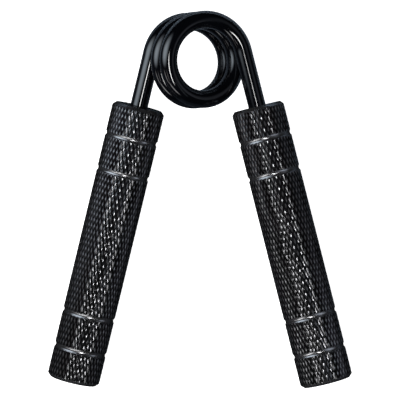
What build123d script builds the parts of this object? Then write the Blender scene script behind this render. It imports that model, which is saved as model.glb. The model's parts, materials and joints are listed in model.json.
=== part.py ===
from build123d import *
import json
import math
import os

# Hand grip strengthener: one wire torsion spring and two knurled aluminium handles.
# It lies on a table as it is put down. +Y runs from the handles' free ends to the coil, +X to
# the right handle, +Z up. The origin is under the middle of the whole part, on the table.
# Everything is drawn first in the handle plane: the plane of both handle axes, with the middle
# of the coil level with (0, 0, 0). Then the whole part is tilted and moved onto the table.

# Driving dimensions, in millimetres and degrees.
WIRE_D = 8.3
COIL_MEAN_R = 18.6
COIL_PITCH = 9.5
COIL_TILT = 3.6  # the coil's near end stands this much away from the handles
WHOLE_TURNS = 2  # the coil also has the near half turn that carries it from one leg to the other
HALF_ANGLE = 14.0  # between each handle's axis and the centre line, with nothing squeezed
LEG_BARE = 26.5  # wire that shows between the coil and the handle, as the mean of the two legs
LEG_IN_HANDLE = 62.0

HANDLE_D = 25.0
HANDLE_LENGTH = 133.8
HANDLE_CHAMFER = 1.5
GROOVE_STATIONS = (15.4, 32.4)  # from each end of the handle
GROOVE_WIDTH = 2.5
GROOVE_DEPTH = 0.55
BORE_CLEARANCE = 0.05  # on the radius
BORE_SPARE_DEPTH = 2.0  # past the end of the leg
DRILL_POINT_ANGLE = 118.0
COUNTERSINK = 0.9
WIRE_END_CHAMFER = 0.8
KINK_BALL = 0.02  # how far the ball that closes the bend between coil and leg stands proud
CLOSED_GAP = 0.4  # left between the handles' free ends at the end of the squeeze

wire_r = WIRE_D / 2
handle_r = HANDLE_D / 2
half_angle = math.radians(HALF_ANGLE)
coil_tilt = math.radians(COIL_TILT)
leg_direction = {side: Vector(side * math.sin(half_angle), -math.cos(half_angle), 0) for side in (-1, 1)}


def coil_shape():
    """Lean of the coil, the angle at which each leg leaves it, and half its height along its axis.

    Each leg starts at one end of the coil's height. The coil leans sideways until both legs lie in
    one plane, so that the handles meet face to face.
    """
    lean = 0.0
    for _ in range(50):
        sideways = math.sin(half_angle) * math.cos(lean)
        down = math.cos(half_angle) * math.cos(coil_tilt)
        tilted = math.sin(half_angle) * math.sin(lean) * math.sin(coil_tilt)
        leave = {side: math.atan2(sideways, down + side * tilted) for side in (-1, 1)}
        turns = WHOLE_TURNS + 0.5 - (leave[-1] + leave[1]) / (2 * math.pi)
        half_height = COIL_PITCH * turns / 2
        rise = 2 * half_height * math.cos(coil_tilt)
        rise += COIL_MEAN_R * math.sin(coil_tilt) * (math.sin(leave[-1]) - math.sin(leave[1]))
        lean = math.atan(rise / COIL_MEAN_R / (math.cos(leave[-1]) + math.cos(leave[1])))
    return lean, leave, half_height


lean, leave, half_height = coil_shape()
coil_x = Vector(math.cos(lean), 0, -math.sin(lean))
coil_axis = Vector(
    math.sin(lean) * math.cos(coil_tilt),
    math.sin(coil_tilt),
    math.cos(lean) * math.cos(coil_tilt),
)
coil_y = coil_axis.cross(coil_x)


def wire_point(angle, height):
    """Middle of the wire at an angle round the coil and a height along its axis, from its centre."""
    ring = coil_x * math.cos(angle) + coil_y * math.sin(angle)
    return ring * COIL_MEAN_R + coil_axis * height


def coil_centre(roots):
    """Where the coil must be for both legs to lie in the handle plane, even about its centre line."""
    spread = [root.X + side * root.Y * math.tan(half_angle) for side, root in roots.items()]
    return Vector(-sum(spread) / 2, 0, -roots[-1].Z)


loose_roots = {
    -1: wire_point(math.pi - leave[-1], -half_height),
    1: wire_point(leave[1], half_height),
}
centre = coil_centre(loose_roots)
leg_root = {side: centre + root for side, root in loose_roots.items()}
coil_plane = Plane(origin=centre, x_dir=coil_x, z_dir=coil_axis)


def leg_bare(side):
    """Bare length of one leg. They differ, as the handles are level and the tilted coil's ends are not."""
    return LEG_BARE + side * (leg_root[1].Y - leg_root[-1].Y) / 2 / math.cos(half_angle)


def leg_plane(side, along):
    """Plane across a leg, at a distance along it from the coil. side is -1 for left, 1 for right."""
    direction = leg_direction[side]
    return Plane(origin=leg_root[side] + direction * along, x_dir=(0, 0, 1), z_dir=direction)


def handle_plane(side, along):
    """Plane across a handle, at a distance along it from its top end."""
    return leg_plane(side, leg_bare(side) + along)


def coil():
    """The close-wound turns: a left-hand helix, swept with the round wire."""
    start = math.degrees(math.pi - leave[-1])
    helix = Helix(COIL_PITCH, 2 * half_height, COIL_MEAN_R, lefthand=True)
    path = coil_plane.location * Pos(0, 0, -half_height) * Rot(0, 0, start) * helix
    section = Plane(origin=path @ 0, z_dir=path % 0) * Circle(wire_r)
    return sweep(section, path=path, is_frenet=True)


def leg(side):
    """One straight leg with a chamfered end, and the ball that closes its slight bend at the coil."""
    length = leg_bare(side) + LEG_IN_HANDLE
    outline = Polyline(
        (0, 0),
        (wire_r, 0),
        (wire_r, length - WIRE_END_CHAMFER),
        (wire_r - WIRE_END_CHAMFER, length),
        (0, length),
        (0, 0),
    )
    straight = revolve(Plane.XZ * make_face(outline), Axis.Z)
    ball = Sphere(wire_r + KINK_BALL)
    return leg_plane(side, 0).location * (straight + ball)


def torsion_spring():
    """The whole spring, one length of wire: leg, coil, leg."""
    return coil() + leg(-1) + leg(1)


def groove_cutter(station):
    """A ring that cuts one smooth, round-bottomed groove."""
    section_r = (GROOVE_WIDTH**2 / 4 + GROOVE_DEPTH**2) / (2 * GROOVE_DEPTH)
    ring_r = handle_r - GROOVE_DEPTH + section_r
    return Pos(0, 0, station) * Torus(ring_r, section_r)


def handle(side):
    """A turned handle: chamfered ends, four grooves and a drilled blind bore for the leg."""
    bore_r = wire_r + BORE_CLEARANCE
    bore_depth = LEG_IN_HANDLE + BORE_SPARE_DEPTH
    drill_tip = bore_r / math.tan(math.radians(DRILL_POINT_ANGLE / 2))
    outline = Polyline(
        (bore_r + COUNTERSINK, 0),
        (handle_r - HANDLE_CHAMFER, 0),
        (handle_r, HANDLE_CHAMFER),
        (handle_r, HANDLE_LENGTH - HANDLE_CHAMFER),
        (handle_r - HANDLE_CHAMFER, HANDLE_LENGTH),
        (0, HANDLE_LENGTH),
        (0, bore_depth + drill_tip),
        (bore_r, bore_depth),
        (bore_r, COUNTERSINK),
        (bore_r + COUNTERSINK, 0),
    )
    body = revolve(Plane.XZ * make_face(outline), Axis.Z)
    for station in GROOVE_STATIONS:
        body -= groove_cutter(station)
        body -= groove_cutter(HANDLE_LENGTH - station)
    return handle_plane(side, 0).location * body


def depth_below(tilt, middle, radius):
    """How far a round section reaches below the coil's level when the part is tilted."""
    return radius - middle.Y * math.sin(tilt) - middle.Z * math.cos(tilt)


def rest_tilt():
    """Tilt at which the part lies on a table: on the coil's lowest turn and the handles' free ends."""
    wire_length_angle = 2 * math.pi * 2 * half_height / COIL_PITCH
    wire = []
    for step in range(3601):
        share = step / 3600
        angle = math.pi - leave[-1] - share * wire_length_angle
        wire.append(centre + wire_point(angle, (2 * share - 1) * half_height))
    rim = handle_plane(1, HANDLE_LENGTH - HANDLE_CHAMFER).origin
    low, high = 0.0, math.radians(10)
    for _ in range(50):
        tilt = (low + high) / 2
        across = math.hypot(math.cos(tilt), math.sin(tilt) * math.sin(half_angle))
        coil_depth = max(depth_below(tilt, point, wire_r) for point in wire)
        if coil_depth > depth_below(tilt, rim, handle_r * across):
            low = tilt
        else:
            high = tilt
    return math.degrees(tilt)


def closed_angle():
    """How far the right handle turns before its free end meets the left one's."""
    end = handle_plane(1, HANDLE_LENGTH - HANDLE_CHAMFER)
    inner = end.origin - Vector(math.cos(half_angle), math.sin(half_angle), 0) * handle_r
    reach = math.hypot(inner.X, inner.Y)
    return 2 * math.degrees(math.asin(inner.X / reach) - math.asin(CLOSED_GAP / 2 / reach))


parts = {
    "torsion_spring": torsion_spring(),
    "left_handle": handle(-1),
    "right_handle": handle(1),
}

# The part is laid on the table, with the origin under its middle.
tilt = Rot(rest_tilt(), 0, 0)
box = Compound(children=[tilt * part for part in parts.values()]).bounding_box()
on_table = Pos(-box.center().X, -box.center().Y, -box.min.Z) * tilt

os.makedirs("parts", exist_ok=True)
for name, part in parts.items():
    solid = (on_table * part).solid()
    solid.label = name
    export_step(solid, f"parts/{name}.step")
    print(name, "volume", round(solid.volume, 1), "valid", solid.is_valid)


def metres(vector):
    return [round(value / 1000, 6) for value in vector]


def placed(plane):
    """A plane's origin, in metres, and its direction, once the part lies on the table."""
    here = on_table * plane.location
    return {"pos_m": metres(here.position), "axis": [round(v, 6) for v in Plane(here).z_dir]}


wire_length = 2 * (LEG_BARE + LEG_IN_HANDLE) + 2 * half_height / COIL_PITCH * math.hypot(
    2 * math.pi * COIL_MEAN_R, COIL_PITCH
)
print(json.dumps({
    "size": [round(v, 2) for v in box.size],
    "lean": round(math.degrees(lean), 3),
    "leave": [round(math.degrees(v), 3) for v in leave.values()],
    "half_height": round(half_height, 3),
    "bare_legs": [round(leg_bare(side), 2) for side in (-1, 1)],
    "rest_tilt": round(rest_tilt(), 3),
    "closed_angle": round(closed_angle(), 2),
    "spring_volume_expected": round(wire_length * math.pi * wire_r**2, 1),
    "squeeze": placed(Plane(origin=(0, 0, 0), z_dir=(0, 0, 1))),
    "coil": placed(coil_plane),
    "left_grip": placed(handle_plane(-1, HANDLE_LENGTH / 2)),
    "right_grip": placed(handle_plane(1, HANDLE_LENGTH / 2)),
    "left_end": placed(handle_plane(-1, HANDLE_LENGTH)),
    "right_end": placed(handle_plane(1, HANDLE_LENGTH)),
}, indent=1))
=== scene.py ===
import json
import math

import bpy
import numpy as np
from mathutils import Matrix, Vector

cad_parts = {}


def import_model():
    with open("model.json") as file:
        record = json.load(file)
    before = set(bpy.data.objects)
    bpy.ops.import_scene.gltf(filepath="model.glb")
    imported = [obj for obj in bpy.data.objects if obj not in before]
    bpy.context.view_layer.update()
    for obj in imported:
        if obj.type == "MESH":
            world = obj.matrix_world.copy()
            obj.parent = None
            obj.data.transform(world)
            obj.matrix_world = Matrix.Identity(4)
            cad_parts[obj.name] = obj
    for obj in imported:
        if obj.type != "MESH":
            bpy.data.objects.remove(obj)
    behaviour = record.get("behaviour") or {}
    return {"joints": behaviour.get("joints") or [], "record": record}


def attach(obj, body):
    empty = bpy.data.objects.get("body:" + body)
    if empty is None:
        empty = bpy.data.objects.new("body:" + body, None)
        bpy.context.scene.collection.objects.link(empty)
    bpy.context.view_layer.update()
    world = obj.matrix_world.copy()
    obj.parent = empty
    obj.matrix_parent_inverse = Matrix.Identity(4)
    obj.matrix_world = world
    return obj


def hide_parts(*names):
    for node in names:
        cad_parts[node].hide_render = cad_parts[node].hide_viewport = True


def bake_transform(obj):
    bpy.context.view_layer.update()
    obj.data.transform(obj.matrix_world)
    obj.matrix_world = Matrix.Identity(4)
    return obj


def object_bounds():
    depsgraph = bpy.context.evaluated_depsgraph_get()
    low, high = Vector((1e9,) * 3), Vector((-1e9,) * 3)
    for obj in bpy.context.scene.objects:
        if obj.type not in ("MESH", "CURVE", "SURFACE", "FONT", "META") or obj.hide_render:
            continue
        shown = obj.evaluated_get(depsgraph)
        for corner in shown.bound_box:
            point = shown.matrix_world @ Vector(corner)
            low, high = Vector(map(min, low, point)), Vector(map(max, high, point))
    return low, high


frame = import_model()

cad_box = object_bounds()

# Driving dimensions, in metres, as in the CAD model.
WIRE_R = 0.00415
COIL_MEAN_R = 0.0186
COIL_PITCH = 0.0095
WHOLE_TURNS = 2
LEG_IN_HANDLE = 0.062
HANDLE_R = 0.0125
HANDLE_LENGTH = 0.1338
HANDLE_CHAMFER = 0.0015
GROOVE_STATIONS = (0.0154, 0.0324)
GROOVE_WIDTH = 0.0025
GROOVE_DEPTH = 0.00055
BORE_R = 0.0042
BORE_DEPTH = 0.064
COUNTERSINK = 0.0009
DRILL_POINT = 0.0025  # length of the cone at the bottom of the bore

# The knurl: two families of helical cuts that cross, each with this many starts.
KNURL_STARTS = 42
KNURL_PITCH = 0.00565  # along the handle, from one diamond's tip to the next one's in line
KNURL_DEPTH = 0.00024
KNURL_FLAT = 0.3  # share of each ridge that is left flat on top
KNURL_STEPS = 8  # mesh steps to one start, and to one pitch
COLUMNS = KNURL_STARTS * KNURL_STEPS  # mesh steps round a handle
TURNED_R = HANDLE_R - 0.45 * KNURL_DEPTH  # a ring of the outside that lies deeper is turned smooth

# Colours of what the part reflects.
COOL_WHITE = (0.8, 0.9, 1.0)
COOL_BLUE = (0.8, 0.87, 1.0)
TABLE_BLUE = (0.64, 0.8, 1.0)

record = frame["record"]
joint = frame["joints"][0]
mounts = {mount["name"]: mount for mount in record["mounts"]}


def mount(name):
    """A mount's position and its axis."""
    return Vector(mounts[name]["pos_m"]), Vector(mounts[name]["axis"]).normalized()


plane_normal = -Vector(joint["axis"]).normalized()
left_middle, left_axis = mount("left_grip")
right_middle, right_axis = mount("right_grip")
toward_coil = -(left_axis + right_axis).normalized()
coil_centre, coil_axis = mount("hang_eye")
coil_x = toward_coil.cross(coil_axis).normalized()
coil_y = coil_axis.cross(coil_x)


# ---------------------------------------------------------------- materials


def new_material(name):
    material = bpy.data.materials.new(name)
    material.use_nodes = True
    nodes = material.node_tree.nodes
    return material, nodes, material.node_tree.links, nodes["Principled BSDF"]


def noise(nodes, links, scale, detail=3.0):
    """Noise in the piece's own coordinates. The scale is about the number of waves to a metre."""
    coordinates = nodes.new("ShaderNodeTexCoord")
    texture = nodes.new("ShaderNodeTexNoise")
    texture.inputs["Scale"].default_value = scale
    texture.inputs["Detail"].default_value = detail
    links.new(coordinates.outputs["Object"], texture.inputs["Vector"])
    return texture.outputs["Fac"]


def rgba(value):
    """A colour, or a grey for a single number, as the four numbers that a ramp takes."""
    return (*value, 1) if isinstance(value, tuple) else (value, value, value, 1)


def ramp(nodes, links, source, low, high, start=0.3, end=0.7):
    """Maps a pattern from start..end onto two values or two colours."""
    node = nodes.new("ShaderNodeValToRGB")
    first, last = node.color_ramp.elements
    first.position = start
    first.color = rgba(low)
    last.position = end
    last.color = rgba(high)
    links.new(source, node.inputs["Fac"])
    return node.outputs["Color"]


def bump(nodes, links, shader, source, strength, distance):
    """Small dents and rises that only the shading sees. The distance is in metres."""
    node = nodes.new("ShaderNodeBump")
    node.inputs["Strength"].default_value = strength
    node.inputs["Distance"].default_value = distance
    links.new(source, node.inputs["Height"])
    links.new(node.outputs["Normal"], shader.inputs["Normal"])


def spring_paint():
    """Gloss black coating: a faint blue in the black, a slight orange peel, small changes of gloss."""
    material, nodes, links, shader = new_material("spring_gloss_black")
    shader.inputs["Specular IOR Level"].default_value = 0.5
    dark, light = (0.0010, 0.0012, 0.0018), (0.0020, 0.0024, 0.0036)
    colour = ramp(nodes, links, noise(nodes, links, 60), dark, light)
    links.new(colour, shader.inputs["Base Color"])
    links.new(ramp(nodes, links, noise(nodes, links, 140), 0.05, 0.10), shader.inputs["Roughness"])
    bump(nodes, links, shader, noise(nodes, links, 300, 2.0), 0.04, 0.0004)
    return material


def anodised_knurl():
    """Black anodised aluminium with random changes of tone: the crests of the knurl are paler, a painted
    highlight, and its cuts black, painted shade.
    """
    material, nodes, links, shader = new_material("handle_black_anodised")
    shader.inputs["Metallic"].default_value = 0.7
    shader.inputs["Specular IOR Level"].default_value = 0.2
    crest = nodes.new("ShaderNodeAttribute")
    crest.attribute_name = "crest"
    # Knurl height with a little noise: it sets the painted highlight on the crests and the painted shade
    # in the cuts.
    highlight_shade_and_tone = nodes.new("ShaderNodeMix")
    highlight_shade_and_tone.inputs["Factor"].default_value = 0.3
    links.new(crest.outputs["Fac"], highlight_shade_and_tone.inputs["A"])
    links.new(noise(nodes, links, 900, 2.0), highlight_shade_and_tone.inputs["B"])
    # Painted shade in the cuts, painted highlight on the crests.
    cut, painted_crest_highlight = (0.008, 0.008, 0.0085), (0.14, 0.14, 0.146)
    colour = ramp(nodes, links, highlight_shade_and_tone.outputs["Result"], cut, painted_crest_highlight, 0.53, 0.95)
    links.new(colour, shader.inputs["Base Color"])
    links.new(ramp(nodes, links, noise(nodes, links, 500), 0.05, 0.10), shader.inputs["Roughness"])
    bump(nodes, links, shader, noise(nodes, links, 3000, 2.0), 0.08, 0.0001)
    return material


def anodised_smooth():
    """The same anodising where the handle is turned smooth: grooves, chamfers and ends."""
    material, nodes, links, shader = new_material("handle_turned_black")
    shader.inputs["Metallic"].default_value = 0.9
    shader.inputs["Specular Tint"].default_value = (0.02, 0.02, 0.02, 1)
    dark, light = (0.12, 0.12, 0.123), (0.15, 0.15, 0.154)
    colour = ramp(nodes, links, noise(nodes, links, 300), dark, light)
    links.new(colour, shader.inputs["Base Color"])
    links.new(ramp(nodes, links, noise(nodes, links, 400), 0.2, 0.26), shader.inputs["Roughness"])
    return material


def pale_floor():
    """A white table that shows no shadow."""
    material, nodes, links, shader = new_material("floor_white")
    shader.inputs["Base Color"].default_value = (0.93, 0.93, 0.92, 1)
    shader.inputs["Roughness"].default_value = 0.9
    shader.inputs["Emission Color"].default_value = (1, 1, 1, 1)
    shader.inputs["Emission Strength"].default_value = 1.0
    return material


# ---------------------------------------------------------------- spring


def leg_of(axis, middle, side):
    """A leg: the angle at which it leaves the coil, its slope along the coil's axis, and its length.

    The length is measured across the coil's axis, from the coil to the leg's end in the handle.
    """
    leave = math.atan2(side * axis.dot(coil_x), -axis.dot(coil_y))
    root = side * math.cos(leave) * COIL_MEAN_R
    top = middle - axis * HANDLE_LENGTH / 2 - coil_centre
    across = math.sqrt(1 - axis.dot(coil_axis) ** 2)
    bare = (top.dot(coil_x) - root) / axis.dot(coil_x) * across
    return leave, side * axis.dot(coil_axis) / across, bare + LEG_IN_HANDLE * across


def wire_line():
    """The middle of the wire, from the end of the left leg round the coil to the end of the right.

    It comes with half the coil's height along its axis.
    """
    left_leave, left_slope, left_length = leg_of(left_axis, left_middle, -1)
    right_leave, right_slope, right_length = leg_of(right_axis, right_middle, 1)
    turned = 2 * math.pi * (WHOLE_TURNS + 0.5) - left_leave - right_leave
    half_height = COIL_PITCH * turned / (4 * math.pi)
    coil_slope = COIL_PITCH / (2 * math.pi * COIL_MEAN_R)
    coil = turned * COIL_MEAN_R
    easing = 0.005  # the bend between coil and leg takes this much wire on each side
    step = 0.0008
    count = round((coil + left_length + right_length) / step)
    along = np.linspace(-left_length, coil + right_length, count)

    def eased(distance):
        share = np.clip(distance / (2 * easing) + 0.5, 0, 1)
        return share * share * (3 - 2 * share)

    slope = left_slope + (coil_slope - left_slope) * eased(along)
    slope += (right_slope - coil_slope) * eased(along - coil)
    rise = np.concatenate([[0], np.cumsum((slope[1:] + slope[:-1]) / 2 * np.diff(along))])
    rise -= np.interp(coil / 2, along, rise)
    wound = np.clip(along, 0, coil)
    angle = math.pi - left_leave - wound / COIL_MEAN_R
    past = along - wound
    flat = COIL_MEAN_R * np.stack([np.cos(angle), np.sin(angle)], 1)
    flat += past[:, None] * np.stack([np.sin(angle), -np.cos(angle)], 1)
    points = np.array(coil_centre) + flat @ np.array([coil_x, coil_y])
    points = points + rise[:, None] * np.array(coil_axis)
    return points, half_height


def round_wire(obj, radius, material):
    """A modifier that gives a line of points its round section, after any bending."""
    tree = bpy.data.node_groups.new("round_wire", "GeometryNodeTree")
    tree.interface.new_socket("Geometry", in_out="INPUT", socket_type="NodeSocketGeometry")
    tree.interface.new_socket("Geometry", in_out="OUTPUT", socket_type="NodeSocketGeometry")
    nodes, links = tree.nodes, tree.links
    start, end = nodes.new("NodeGroupInput"), nodes.new("NodeGroupOutput")
    to_curve = nodes.new("GeometryNodeMeshToCurve")
    section = nodes.new("GeometryNodeCurvePrimitiveCircle")
    section.inputs["Resolution"].default_value = 64
    section.inputs["Radius"].default_value = radius
    to_mesh = nodes.new("GeometryNodeCurveToMesh")
    to_mesh.inputs["Fill Caps"].default_value = True
    paint = nodes.new("GeometryNodeSetMaterial")
    paint.inputs["Material"].default_value = material
    smooth = nodes.new("GeometryNodeSetShadeSmooth")
    links.new(start.outputs[0], to_curve.inputs[0])
    links.new(to_curve.outputs[0], to_mesh.inputs["Curve"])
    links.new(section.outputs["Curve"], to_mesh.inputs["Profile Curve"])
    links.new(to_mesh.outputs[0], paint.inputs["Geometry"])
    links.new(paint.outputs[0], smooth.inputs["Geometry"])
    links.new(smooth.outputs[0], end.inputs[0])
    modifier = obj.modifiers.new("round_wire", "NODES")
    modifier.node_group = tree


def torsion_spring(material):
    """The whole spring: a line of points from the end of one leg round the coil to the end of the other,
    which takes its round section from a modifier.
    """
    points, half_height = wire_line()
    mesh = bpy.data.meshes.new("spring_wire")
    mesh.from_pydata([tuple(p) for p in points], [(i, i + 1) for i in range(len(points) - 1)], [])
    mesh.materials.append(material)
    spring = bpy.data.objects.new("spring_wire", mesh)
    bpy.context.scene.collection.objects.link(spring)
    round_wire(spring, WIRE_R, material)
    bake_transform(spring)
    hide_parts("torsion_spring")


# ---------------------------------------------------------------- handles


groove_middles = list(GROOVE_STATIONS) + [HANDLE_LENGTH - station for station in GROOVE_STATIONS]
column_turns = np.arange(COLUMNS)[None, :] / COLUMNS  # the share of a turn at which each column lies


def ridge(phase):
    """One family of cuts: 1 along the crest, 0 at the bottom of the cut, with flats on top."""
    height = np.abs(2 * (phase % 1.0) - 1)
    return np.minimum(height / (1 - KNURL_FLAT), 1.0)


def slow_wave(turn, z, seed):
    """A slow change round and along the handle, between 0 and 1: six waves added up.

    Each has up to three periods round the handle, and up to 60 to a metre along it.
    """
    rng = np.random.default_rng(seed)
    total = np.zeros(np.broadcast(turn, z).shape)
    for _ in range(6):
        around = rng.integers(0, 4)
        along = rng.uniform(-60, 60)
        total = total + np.sin(2 * math.pi * (around * turn + along * z + rng.uniform(0, 1)))
    return 0.5 + 0.5 * np.tanh(total / 2)


def groove_radius(z):
    """Radius of the smooth grooves, and the plain handle's radius away from them."""
    radius = np.full(np.shape(z), HANDLE_R)
    section_r = (GROOVE_WIDTH**2 / 4 + GROOVE_DEPTH**2) / (2 * GROOVE_DEPTH)
    for middle in groove_middles:
        off = np.clip(np.abs(z - middle), 0, GROOVE_WIDTH / 2)
        groove = HANDLE_R - GROOVE_DEPTH + section_r - np.sqrt(section_r**2 - off**2)
        radius = np.minimum(radius, groove)
    return radius


def chamfer_radius(z):
    """Radius of the chamfers at both ends, and the plain handle's radius between them."""
    from_end = np.minimum(z, HANDLE_LENGTH - z)
    return HANDLE_R - HANDLE_CHAMFER + np.clip(from_end, 0, HANDLE_CHAMFER)


def knurl_height(turn, z, seed):
    """Height of the knurl at a share of a turn and a distance from the top end: 1 on the crests.

    The second family's cuts are 55 to 100 percent as deep as the first's.
    """
    first = ridge(KNURL_STARTS * turn + z / KNURL_PITCH)
    second = ridge(KNURL_STARTS * turn - z / KNURL_PITCH)
    second_depth = 0.55 + 0.45 * slow_wave(turn, z, seed)
    return np.minimum(first, 1 - second_depth * (1 - second))


def handle_radius(turn, z, seed):
    """Outside of the handle at a share of a turn and a distance from its top end."""
    knurled = HANDLE_R - KNURL_DEPTH * (1 - knurl_height(turn, z, seed))
    return np.minimum(np.minimum(knurled, groove_radius(z)), chamfer_radius(z))


def handle_rows():
    """Where the rings of the knurled outside lie: even steps, and closer ones in grooves and chamfers."""
    chamfer_margin = 0.0002  # the even rings keep this far away from the chamfers
    groove_margin = 0.0001  # and this far away from the grooves
    even = np.arange(0, HANDLE_LENGTH, KNURL_PITCH / KNURL_STEPS)
    keep = even > HANDLE_CHAMFER + chamfer_margin
    keep &= even < HANDLE_LENGTH - HANDLE_CHAMFER - chamfer_margin
    for middle in groove_middles:
        keep &= np.abs(even - middle) > GROOVE_WIDTH / 2 + groove_margin
    rows = [even[keep]]
    for middle in groove_middles:
        rows.append(middle + GROOVE_WIDTH / 2 * np.sin(np.linspace(-math.pi / 2, math.pi / 2, 13)))
    for end, sign in ((0.0, 1), (HANDLE_LENGTH, -1)):
        rows.append(end + sign * np.linspace(0, HANDLE_CHAMFER, 4))
    return np.unique(np.round(np.concatenate(rows), 7))


def bore_rings():
    """Radius of each ring of the bore and its distance from the top end, from the bottom up."""
    edge = 0.00015  # small rounding of the turned edges
    return [
        (BORE_R, BORE_DEPTH),
        (BORE_R, COUNTERSINK + edge),
        (BORE_R + edge, COUNTERSINK - edge),
        (BORE_R + COUNTERSINK - edge, edge),
        (BORE_R + COUNTERSINK + edge, 0.0),
    ]


def skin_points(radii, heights):
    """The points of every ring, then the tip of the bore and the middle of the far end."""
    angle = 2 * math.pi * column_turns[0]
    points = []
    for radius, z in zip(radii, heights):
        ring = [radius * np.cos(angle), radius * np.sin(angle), np.full(COLUMNS, z)]
        points.append(np.stack(ring, 1))
    points.append(np.array([[0, 0, BORE_DEPTH + DRILL_POINT], [0, 0, HANDLE_LENGTH]]))
    return np.concatenate(points)


def band_faces(ring, near, far, middles):
    """Two triangles for each step round the band from one ring to the next.

    On the outside, each step is split along the diagonal that lies nearer to the knurl's own
    height in its middle. The bore has no middles, and is split one way.
    """
    faces = []
    for i in range(COLUMNS):
        j = (i + 1) % COLUMNS
        a, b = ring * COLUMNS + i, ring * COLUMNS + j
        c, d = b + COLUMNS, a + COLUMNS
        off_ac, off_bd = 0, 0
        if middles is not None:
            off_ac = abs((near[i] + far[j]) / 2 - middles[i])
            off_bd = abs((near[j] + far[i]) / 2 - middles[i])
        if off_ac <= off_bd:
            faces += [(a, b, c), (a, c, d)]
        else:
            faces += [(a, b, d), (b, c, d)]
    return faces


def skin_faces(radii, heights, middles):
    """All triangles of the skin, which of them are shaded smooth, and each one's material slot."""
    faces, smooth, slots = [], [], []
    first_outside = len(radii) - 1 - len(middles)
    for ring in range(len(radii) - 1):
        outside = ring >= first_outside
        z = (heights[ring] + heights[ring + 1]) / 2
        grooved = bool(groove_radius(z) < TURNED_R)
        turned = not outside or grooved or chamfer_radius(z) < TURNED_R
        here = middles[ring - first_outside] if outside else None
        faces += band_faces(ring, radii[ring], radii[ring + 1], here)
        smooth += [ring == 0 or (outside and grooved)] * 2 * COLUMNS
        slots += [int(turned)] * 2 * COLUMNS
    last = (len(radii) - 1) * COLUMNS
    bore_tip, far_end = last + COLUMNS, last + COLUMNS + 1
    for i in range(COLUMNS):
        j = (i + 1) % COLUMNS
        faces += [(j, i, bore_tip), (last + i, last + j, far_end)]
        smooth += [True, False]
        slots += [1, 1]
    return faces, smooth, slots


def handle_mesh(name, seed, materials):
    """A watertight skin: up the bore, over the end, down the knurled outside and across the far end.

    It stands about the Z axis with its top end at 0. "crest" holds the knurl's height, from which the
    paint makes painted highlight on the crests and painted shade in the cuts.
    """
    z_rows = handle_rows()[:, None]
    outside = handle_radius(column_turns, z_rows, seed)
    middles = handle_radius(column_turns + 0.5 / COLUMNS, (z_rows[1:] + z_rows[:-1]) / 2, seed)
    bore = bore_rings()
    radii = [np.full(COLUMNS, radius) for radius, _ in bore] + list(outside)
    heights = [z for _, z in bore] + list(z_rows[:, 0])
    points = skin_points(radii, heights)
    faces, smooth, slots = skin_faces(radii, heights, middles)
    # The knurl's height, from which the paint makes its painted highlight and painted shade.
    crest = np.ones(len(points))
    first = len(bore) * COLUMNS
    crest[first : first + outside.size] = knurl_height(column_turns, z_rows, seed).ravel()

    mesh = bpy.data.meshes.new(name)
    mesh.from_pydata(points.tolist(), [], faces)
    mesh.attributes.new("crest", "FLOAT", "POINT").data.foreach_set("value", crest)
    mesh.polygons.foreach_set("use_smooth", smooth)
    mesh.polygons.foreach_set("material_index", slots)
    for material in materials:
        mesh.materials.append(material)
    return mesh


def handle(name, node, body, middle, axis, seed, materials):
    """One handle, laid along its leg. The materials are the knurl's and the turned metal's."""
    mesh = handle_mesh(name, seed, materials)
    placed = Matrix((plane_normal, axis.cross(plane_normal), axis)).transposed().to_4x4()
    placed.translation = middle - axis * HANDLE_LENGTH / 2
    mesh.transform(placed)
    mesh.update()
    obj = bpy.data.objects.new(name, mesh)
    bpy.context.scene.collection.objects.link(obj)
    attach(obj, body)
    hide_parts(node)
    return obj


# ---------------------------------------------------------------- stage, light and camera


def flat_card(name, width, height, material):
    """A flat sheet across its own Z axis."""
    corners = [(-width / 2, -height / 2, 0), (width / 2, -height / 2, 0)]
    corners += [(width / 2, height / 2, 0), (-width / 2, height / 2, 0)]
    mesh = bpy.data.meshes.new(name)
    mesh.from_pydata(corners, [], [(0, 1, 2, 3)])
    mesh.materials.append(material)
    obj = bpy.data.objects.new(name, mesh)
    bpy.context.scene.collection.objects.link(obj)
    return obj


def floor():
    """The table, just under the part. Neither reflections nor diffuse light see it."""
    obj = flat_card("floor", 8, 8, pale_floor())
    obj.location.z = cad_box[0].z - 0.0001
    obj.visible_glossy = False
    obj.visible_diffuse = False


def glow(name, radiance, colour, width, height, edge):
    """Light of a soft-edged card. It fades to nothing over this share of the way in from its edge."""
    material = bpy.data.materials.new(name)
    material.use_nodes = True
    nodes, links = material.node_tree.nodes, material.node_tree.links
    nodes.clear()
    coordinates = nodes.new("ShaderNodeTexCoord")
    mapping = nodes.new("ShaderNodeMapping")
    mapping.inputs["Scale"].default_value = (2 / width, 2 / height, 1)
    gradient = nodes.new("ShaderNodeTexGradient")
    gradient.gradient_type = "SPHERICAL"
    fade = nodes.new("ShaderNodeMapRange")
    fade.interpolation_type = "SMOOTHSTEP"
    fade.inputs["From Max"].default_value = edge
    fade.inputs["To Max"].default_value = radiance
    emission = nodes.new("ShaderNodeEmission")
    emission.inputs["Color"].default_value = (*colour, 1)
    output = nodes.new("ShaderNodeOutputMaterial")
    links.new(coordinates.outputs["Object"], mapping.inputs["Vector"])
    links.new(mapping.outputs["Vector"], gradient.inputs["Vector"])
    links.new(gradient.outputs["Fac"], fade.inputs["Value"])
    links.new(fade.outputs["Result"], emission.inputs["Strength"])
    links.new(emission.outputs["Emission"], output.inputs["Surface"])
    return material


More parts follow.
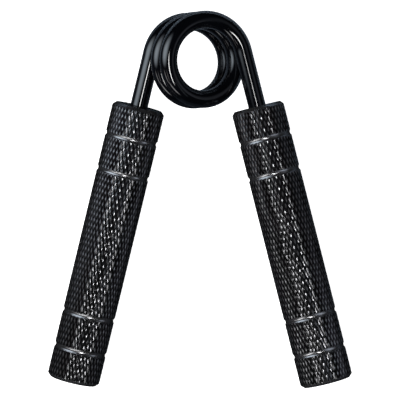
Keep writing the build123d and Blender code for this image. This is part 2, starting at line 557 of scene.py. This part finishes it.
def soft_card(name, place, width, height, radiance, colour=(1, 1, 1), edge=0.5, up=(0, 1, 0)):
    """A soft-edged card that only shows in reflections. It faces the part from where it stands."""
    obj = flat_card(name, width, height, glow(name, radiance, colour, width, height, edge))
    across = Vector(up).cross(Vector(place)).normalized()
    back = Vector(place).normalized()
    turn = Matrix((across, back.cross(across), back)).transposed()
    obj.location = place
    obj.rotation_mode = "QUATERNION"
    obj.rotation_quaternion = turn.to_quaternion()
    obj.visible_camera = False
    obj.visible_diffuse = False
    obj.visible_shadow = False
    return obj


def table_glow(name, place, width, height, radiance):
    """What reflections see of the white table round the part, a little blue as in cool daylight."""
    obj = soft_card(name, (0, 0, 1), width, height, radiance, TABLE_BLUE, edge=0.8)
    obj.location = (*place, -0.004)


def fill_light():
    """Broad light from the upper left for the matt surfaces. Reflections don't see it."""
    data = bpy.data.lights.new("fill", "AREA")
    data.shape = "RECTANGLE"
    data.size, data.size_y = 1.6, 1.6
    data.energy = 28
    obj = bpy.data.objects.new("fill", data)
    obj.location = (-0.6, -0.3, 1.4)
    obj.rotation_mode = "QUATERNION"
    obj.rotation_quaternion = obj.location.to_track_quat("Z", "Y")
    obj.visible_camera = False
    obj.visible_glossy = False
    bpy.context.scene.collection.objects.link(obj)


def seen_only_by(objects, cards):
    """Makes these objects the only ones that the cards light."""
    receivers = bpy.data.collections.new("handles")
    for obj in objects:
        receivers.objects.link(obj)
    for card in cards:
        card.light_linking.receiver_collection = receivers


def studio_cards(handles):
    """What the wire and the handles reflect: a strip overhead, panels, and cards for small glints."""
    upright = (0, 0, 1)
    soft_card("overhead_strip", (0.21, -0.29, 1.1), 0.19, 0.95, 29, edge=0.35)
    soft_card("left_panel", (-0.2, 0.115, 0.22), 0.5, 0.37, 5.5, COOL_WHITE, edge=0.9)
    soft_card("front_card", (-0.4, -0.95, 0.55), 1.0, 0.28, 4, up=upright)
    groove_card = soft_card("groove_card", (-0.6, -0.78, 0.8), 1.3, 0.9, 9, edge=0.7, up=upright)
    soft_card("glint_far_left", (-0.95, -0.6, 0.45), 0.3, 0.7, 3, edge=0.6)
    soft_card("glint_left", (-0.55, -0.62, 0.95), 0.16, 0.6, 2.5, edge=0.6)
    soft_card("glint_right", (0.8, -0.45, 0.8), 0.2, 0.7, 1.0, COOL_WHITE, edge=0.6)
    soft_card("glint_far_right", (1.1, -0.4, 0.25), 0.3, 0.8, 2, COOL_WHITE, edge=0.6)
    soft_card("right_panel", (0.17, 0.05, 0.12), 0.13, 0.3, 0.45, COOL_BLUE, edge=1.0)
    panel = soft_card("right_handle_panel", (0.16, -0.08, 0.08), 0.14, 0.24, 2.4, COOL_BLUE, edge=1.0)
    seen_only_by(handles, (groove_card, panel))


def table_glows():
    """The white table in reflections: faint all round, and brighter beside and behind the coil."""
    table_glow("table_glow", (0, 0), 3.0, 3.0, 0.07)
    table_glow("table_glow_right", (0.07, 0.08), 0.22, 0.22, 1.0)
    table_glow("table_glow_left", (-0.05, 0.09), 0.16, 0.16, 0.7)
    table_glow("table_glow_handle", (0.13, -0.03), 0.16, 0.26, 0.6)
    table_glow("table_glow_back", (0.02, 0.2), 0.54, 0.3, 4.2)


def camera():
    """Almost straight above the part, a little to its right, as a long lens sees it."""
    distance = 1.9
    lean_right, lean_up = math.radians(6.27), math.radians(0.81)
    target = Vector((0.00072, -0.00018, 0.0167))
    back = Vector((math.tan(lean_right), math.tan(lean_up), 1)).normalized()
    data = bpy.data.cameras.new("camera")
    data.lens = 363.3
    data.sensor_width = 36
    data.clip_end = 20
    obj = bpy.data.objects.new("camera", data)
    obj.location = target + back * distance
    right = Vector((0, 1, 0)).cross(back).normalized()
    up = back.cross(right)
    turn = Matrix((right, up, back)).transposed()
    obj.rotation_mode = "QUATERNION"
    obj.rotation_quaternion = turn.to_quaternion()
    bpy.context.scene.collection.objects.link(obj)
    bpy.context.scene.camera = obj


def world():
    """Even white light from all round, which reflections don't see."""
    scene = bpy.context.scene
    scene.world = bpy.data.worlds.new("studio")
    scene.world.use_nodes = True
    background = scene.world.node_tree.nodes["Background"]
    background.inputs["Color"].default_value = (1, 1, 1, 1)
    background.inputs["Strength"].default_value = 0.35
    scene.world.cycles_visibility.glossy = False
    scene.view_settings.view_transform = "Standard"


gloss = spring_paint()
anodised = (anodised_knurl(), anodised_smooth())
torsion_spring(gloss)
handles = [
    handle("knurled_handle_left", "left_handle", "left_side", left_middle, left_axis, 3, anodised),
    handle("knurled_handle_right", "right_handle", "right_side", right_middle, right_axis, 8, anodised),
]
floor()
fill_light()
studio_cards(handles)
table_glows()
world()
camera()
